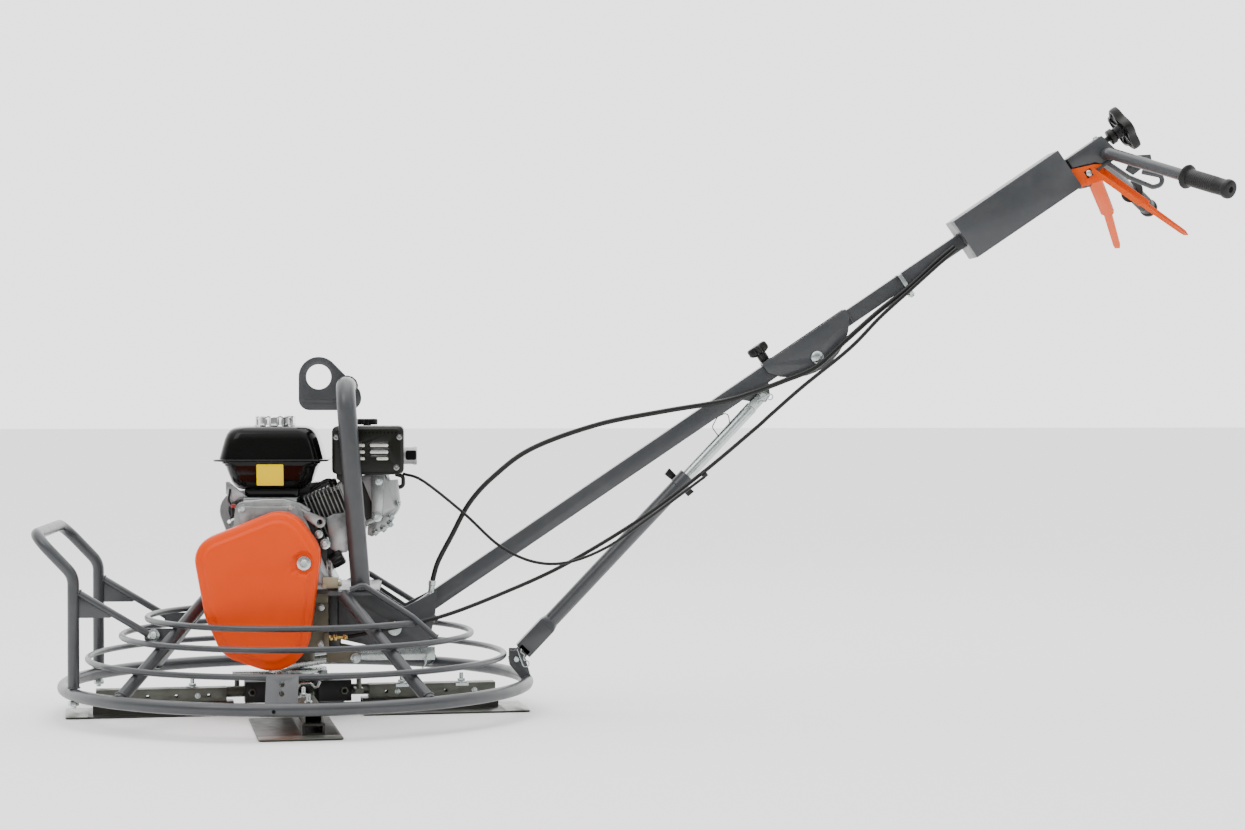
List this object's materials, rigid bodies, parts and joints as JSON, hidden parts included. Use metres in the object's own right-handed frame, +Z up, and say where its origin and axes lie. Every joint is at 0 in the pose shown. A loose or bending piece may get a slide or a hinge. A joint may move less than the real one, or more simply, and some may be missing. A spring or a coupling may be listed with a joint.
{
  "type": "walk-behind power trowel",
  "caption": "Walk-behind power trowel: petrol engine on a ringed guard, belt and worm drive, tilting blades under a spider, folding handle with strut, lever and pitch wheel.",
  "frame": {"origin": "middle of the footprint, on the floor that the blades lie on", "axes": "+X from the rotor towards the operator, +Y across the machine away from the belt cover, +Z up"},
  "size_m": [2.3321, 0.946, 1.2207],
  "materials": {
    "grey_paint": "textured powder coat",
    "orange_paint": "satin",
    "black_paint": "gloss",
    "black_cast": "painted black casting",
    "chrome": "polished",
    "cast_aluminium": "as cast",
    "silver_paint": "satin silver",
    "zinc": "zinc plated",
    "galvanised": "dull plated",
    "blade_steel": "dark rolled steel with worn bright edges",
    "dark_steel": "machined",
    "bronze": "machined bronze",
    "gearbox_paint": "dusty painted casting",
    "rubber": "matt",
    "black_plastic": "moulded",
    "cable_black": "cable sheath"
  },
  "bodies": {
    "machine_base": {"guard_outer_ring": "grey_paint", "guard_ring_lower": "grey_paint", "guard_ring_middle": "grey_paint", "guard_ring_top": "grey_paint", "base_frame": "grey_paint", "carry_handle": "grey_paint", "lifting_frame": "grey_paint", "gearbox_housing": "gearbox_paint", "gearbox_lid": "gearbox_paint", "v_belt": "rubber", "belt_cover": "orange_paint", "crankcase": "cast_aluminium", "cylinder_block": "cast_aluminium", "rocker_cover": "silver_paint", "fan_shroud": "silver_paint", "recoil_starter": "silver_paint", "fuel_tank": "black_paint", "muffler": "silver_paint", "muffler_guard": "black_paint", "air_cleaner": "black_plastic", "handle_pivot_pin": "zinc", "pitch_cable_lower": "cable_black", "stop_cable_lower": "cable_black", "throttle_cable": "cable_black"},
    "rotor": {"spider": "black_cast", "output_shaft": "dark_steel", "worm_wheel": "bronze"},
    "worm": {"worm_shaft": "dark_steel", "driven_pulley": "cast_aluminium"},
    "crank": {"crankshaft": "dark_steel", "clutch_pulley": "dark_steel"},
    "arm_1": {"trowel_arm_1": "galvanised", "blade_1": "blade_steel"},
    "arm_2": {"trowel_arm_2": "galvanised", "blade_2": "blade_steel"},
    "arm_3": {"trowel_arm_3": "galvanised", "blade_3": "blade_steel"},
    "arm_4": {"trowel_arm_4": "galvanised", "blade_4": "blade_steel"},
    "pressure_plate": {"pressure_plate": "zinc"},
    "pitch_yoke": {"pitch_yoke": "galvanised"},
    "pitch_wheel": {"pitch_wheel": "black_plastic"},
    "lower_handle": {"lower_handle": "grey_paint"},
    "strut_outer": {"strut_outer": "grey_paint"},
    "strut_inner": {"strut_inner": "zinc"},
    "strut_wing_knob": {"strut_wing_knob": "black_plastic"},
    "upper_handle": {"upper_handle": "grey_paint", "control_box": "grey_paint", "handlebar": "grey_paint", "grip_near": "rubber", "grip_far": "rubber", "fold_bolt": "zinc", "pitch_cable_upper": "cable_black", "stop_cable_upper": "cable_black"},
    "fold_knob": {"fold_knob": "black_plastic"},
    "stop_lever": {"stop_lever": "orange_paint"},
    "recoil_grip": {"recoil_grip": "black_plastic"},
    "fuel_cap": {"fuel_cap": "chrome"},
    "air_cleaner_nut": {"air_cleaner_nut": "black_plastic"},
    "oil_filler_cap": {"oil_filler_cap": "black_plastic"}
  },
  "joints": [
    {"name": "rotor_spin", "type": "hinge", "parent": "machine_base", "child": "rotor", "pos_m": [-0.6607, 0, 0.05], "axis": [0, 0, 1], "continuous": true},
    {"name": "worm_spin", "type": "hinge", "parent": "machine_base", "child": "worm", "pos_m": [-0.7157, 0, 0.1725], "axis": [0, 1, 0], "continuous": true},
    {"name": "crank_spin", "type": "hinge", "parent": "machine_base", "child": "crank", "pos_m": [-0.7057, 0, 0.352], "axis": [0, 1, 0], "continuous": true},
    {"name": "arm_1_tilt", "type": "hinge", "parent": "rotor", "child": "arm_1", "pos_m": [-0.6607, 0, 0.042], "axis": [0.9919, 0.1271, 0], "range_deg": [0, 14]},
    {"name": "arm_2_tilt", "type": "hinge", "parent": "rotor", "child": "arm_2", "pos_m": [-0.6607, 0, 0.042], "axis": [-0.1271, 0.9919, 0], "range_deg": [0, 14]},
    {"name": "arm_3_tilt", "type": "hinge", "parent": "rotor", "child": "arm_3", "pos_m": [-0.6607, 0, 0.042], "axis": [-0.9919, -0.1271, 0], "range_deg": [0, 14]},
    {"name": "arm_4_tilt", "type": "hinge", "parent": "rotor", "child": "arm_4", "pos_m": [-0.6607, 0, 0.042], "axis": [0.1271, -0.9919, 0], "range_deg": [0, 14]},
    {"name": "plate_press", "type": "slide", "parent": "rotor", "child": "pressure_plate", "axis": [0, 0, -1], "range_m": [0, 0.0087]},
    {"name": "yoke_tilt", "type": "hinge", "parent": "machine_base", "child": "pitch_yoke", "pos_m": [-0.5427, 0, 0.112], "axis": [0, -1, 0], "range_deg": [0, 3.8]},
    {"name": "pitch_wheel_turn", "type": "hinge", "parent": "upper_handle", "child": "pitch_wheel", "pos_m": [1.01733, 0, 1.17771], "axis": [0.8281, 0, 0.5606], "range_deg": [0, 340]},
    {"name": "handle_raise", "type": "hinge", "parent": "machine_base", "child": "lower_handle", "pos_m": [-0.4657, 0, 0.17], "axis": [0, -1, 0], "range_deg": [0, 46.5], "deforming": ["pitch_cable_lower", "stop_cable_lower", "throttle_cable"]},
    {"name": "strut_swing", "type": "hinge", "parent": "machine_base", "child": "strut_outer", "pos_m": [-0.2227, 0, 0.104], "axis": [0, -1, 0], "range_deg": [0, 47.6]},
    {"name": "strut_extend", "type": "slide", "parent": "strut_outer", "child": "strut_inner", "axis": [0.6869, 0, 0.7268], "range_m": [0, 0.1985]},
    {"name": "strut_wing_turn", "type": "hinge", "parent": "strut_outer", "child": "strut_wing_knob", "pos_m": [0.1097, 0, 0.4558], "axis": [0, 1, 0], "range_deg": [0, 90]},
    {"name": "handle_fold", "type": "hinge", "parent": "lower_handle", "child": "upper_handle", "pos_m": [0.3858, 0, 0.71028], "axis": [0, 1, 0], "range_deg": [0, 157], "deforming": ["pitch_cable_upper", "stop_cable_upper"]},
    {"name": "fold_knob_turn", "type": "hinge", "parent": "upper_handle", "child": "fold_knob", "pos_m": [0.28553, 0, 0.69964], "axis": [-0.5606, 0, 0.8281], "continuous": true},
    {"name": "stop_lever_squeeze", "type": "hinge", "parent": "upper_handle", "child": "stop_lever", "pos_m": [0.93796, 0, 1.06842], "axis": [0, -1, 0], "range_deg": [0, 25], "stiffness_Nm_per_rad": 6, "springref_deg": -20.05},
    {"name": "recoil_pull", "type": "slide", "parent": "machine_base", "child": "recoil_grip", "axis": [-0.7233, 0.1005, 0.6831], "range_m": [0, 0.6], "stiffness_N_per_m": 20, "springref_m": -0.2},
    {"name": "fuel_cap_turn", "type": "hinge", "parent": "machine_base", "child": "fuel_cap", "pos_m": [-0.7037, -0.018, 0.569], "axis": [0, 0, 1], "range_deg": [0, 90]},
    {"name": "air_nut_turn", "type": "hinge", "parent": "machine_base", "child": "air_cleaner_nut", "pos_m": [-0.5227, 0.055, 0.5664], "axis": [0, 0, 1], "continuous": true},
    {"name": "oil_cap_turn", "type": "hinge", "parent": "machine_base", "child": "oil_filler_cap", "pos_m": [-0.5903, -0.084, 0.3032], "axis": [0.8669, 0, 0.4985], "continuous": true}
  ],
  "couplings": [
    {"joint": "worm_spin", "follows": "rotor_spin", "ratio": 20},
    {"joint": "crank_spin", "follows": "rotor_spin", "ratio": 30},
    {"joint": "arm_2_tilt", "follows": "arm_1_tilt", "ratio": 1},
    {"joint": "arm_3_tilt", "follows": "arm_1_tilt", "ratio": 1},
    {"joint": "arm_4_tilt", "follows": "arm_1_tilt", "ratio": 1},
    {"joint": "plate_press", "follows": "arm_1_tilt", "m_per_rad": 0.0348},
    {"joint": "yoke_tilt", "follows": "arm_1_tilt", "ratio": 0.26},
    {"joint": "pitch_wheel_turn", "follows": "arm_1_tilt", "ratio": 24},
    {"joint": "strut_swing", "follows": "handle_raise", "ratio": 1.0228},
    {"joint": "strut_extend", "follows": "handle_raise", "m_per_rad": 0.24424}
  ]
}
